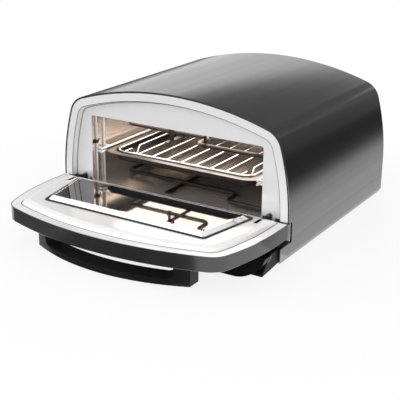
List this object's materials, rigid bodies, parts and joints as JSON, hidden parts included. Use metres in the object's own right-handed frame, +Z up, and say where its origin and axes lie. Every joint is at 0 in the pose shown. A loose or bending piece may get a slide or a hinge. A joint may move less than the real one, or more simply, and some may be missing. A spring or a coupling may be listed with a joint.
{
  "type": "countertop pizza oven",
  "caption": "Arched countertop pizza oven with a drop-down windowed door, a bow handle, a slide-out tray with a wire rack, and heat and timer dials.",
  "frame": {"origin": "on the floor, under the middle of the whole box with the door open", "axes": "+X to the oven's right seen from the front, +Y to the back, +Z up; the door is open and level, the tray is home"},
  "size_m": [0.42, 0.5582, 0.225],
  "materials": {
    "shell_enamel": "gloss",
    "skirt_metal": "gloss",
    "housing_plastic": "matte",
    "fascia_plastic": "gloss",
    "trim_metal": "satin",
    "frame_metal": "satin",
    "gasket_black": "matte",
    "liner_metal": "satin",
    "element_steel": "satin",
    "ceramic_white": "matte",
    "support_steel": "satin",
    "bracket_black": "matte",
    "bulb_copper": "satin",
    "guide_wire": "gloss",
    "rack_wire": "gloss",
    "tray_enamel": "gloss",
    "pan_metal": "satin",
    "foot_rubber": "matte",
    "screw_steel": "satin",
    "hinge_steel": "satin",
    "pin_steel": "satin",
    "switch_plastic": "matte",
    "lamp_red": "gloss",
    "knob_plastic": "satin",
    "door_metal": "gloss",
    "panel_metal": "satin",
    "bezel_metal": "polished",
    "seal_black": "matte",
    "door_glass": "gloss",
    "handle_plastic": "matte"
  },
  "bodies": {
    "body": {"outer_shell": "shell_enamel", "base_skirt": "skirt_metal", "frame_gasket": "gasket_black", "front_frame": "frame_metal", "cavity_liner": "liner_metal", "cavity_back": "liner_metal", "upper_element": "element_steel", "lower_element": "element_steel", "upper_bushings": "ceramic_white", "lower_bushings": "ceramic_white", "upper_support": "support_steel", "lower_support": "support_steel", "upper_hangers": "support_steel", "element_bracket": "bracket_black", "thermostat_bulb": "bulb_copper", "bulb_clips": "support_steel", "guide_left": "guide_wire", "guide_right": "guide_wire", "guide_clips": "support_steel", "base_pan": "pan_metal", "foot_front_left": "foot_rubber", "foot_front_right": "foot_rubber", "foot_rear_left": "foot_rubber", "foot_rear_right": "foot_rubber", "foot_screws": "screw_steel", "rear_panel": "pan_metal", "cord_gland": "foot_rubber", "rear_screws": "screw_steel", "control_housing": "housing_plastic", "fascia_trim": "trim_metal", "fascia": "fascia_plastic", "heat_control": "switch_plastic", "timer_control": "switch_plastic", "lamp_lens": "lamp_red", "hinge_bracket_left": "hinge_steel", "hinge_bracket_right": "hinge_steel", "bracket_screws": "screw_steel"},
    "door": {"door_shell": "door_metal", "door_panel": "panel_metal", "outer_glass": "door_glass", "inner_glass": "door_glass", "window_bezel": "bezel_metal", "window_seal": "seal_black", "handle": "handle_plastic", "handle_screws": "screw_steel", "hinge_pin_left": "pin_steel", "hinge_pin_right": "pin_steel"},
    "tray": {"tray": "tray_enamel"},
    "rack": {"rack": "rack_wire"},
    "heat_dial": {"heat_knob": "knob_plastic", "heat_shaft": "pin_steel"},
    "timer_dial": {"timer_knob": "knob_plastic", "timer_shaft": "pin_steel"}
  },
  "joints": [
    {"name": "door_hinge", "type": "hinge", "parent": "body", "child": "door", "pos_m": [0, -0.0994, 0.0453], "axis": [-1, 0, 0], "range_deg": [0, 90]},
    {"name": "tray_slide", "type": "slide", "parent": "body", "child": "tray", "axis": [0, 1, 0], "range_m": [-0.216, 0]},
    {"name": "rack_lift", "type": "slide", "parent": "tray", "child": "rack", "axis": [0, 0, 1], "range_m": [0, 0.028]},
    {"name": "heat_turn", "type": "hinge", "parent": "body", "child": "heat_dial", "pos_m": [-0.118, -0.16178, 0.01575], "axis": [0, -0.766, 0.6428], "range_deg": [-270, 0]},
    {"name": "timer_turn", "type": "hinge", "parent": "body", "child": "timer_dial", "pos_m": [0.118, -0.16178, 0.01575], "axis": [0, -0.766, 0.6428], "range_deg": [-300, 0]}
  ]
}
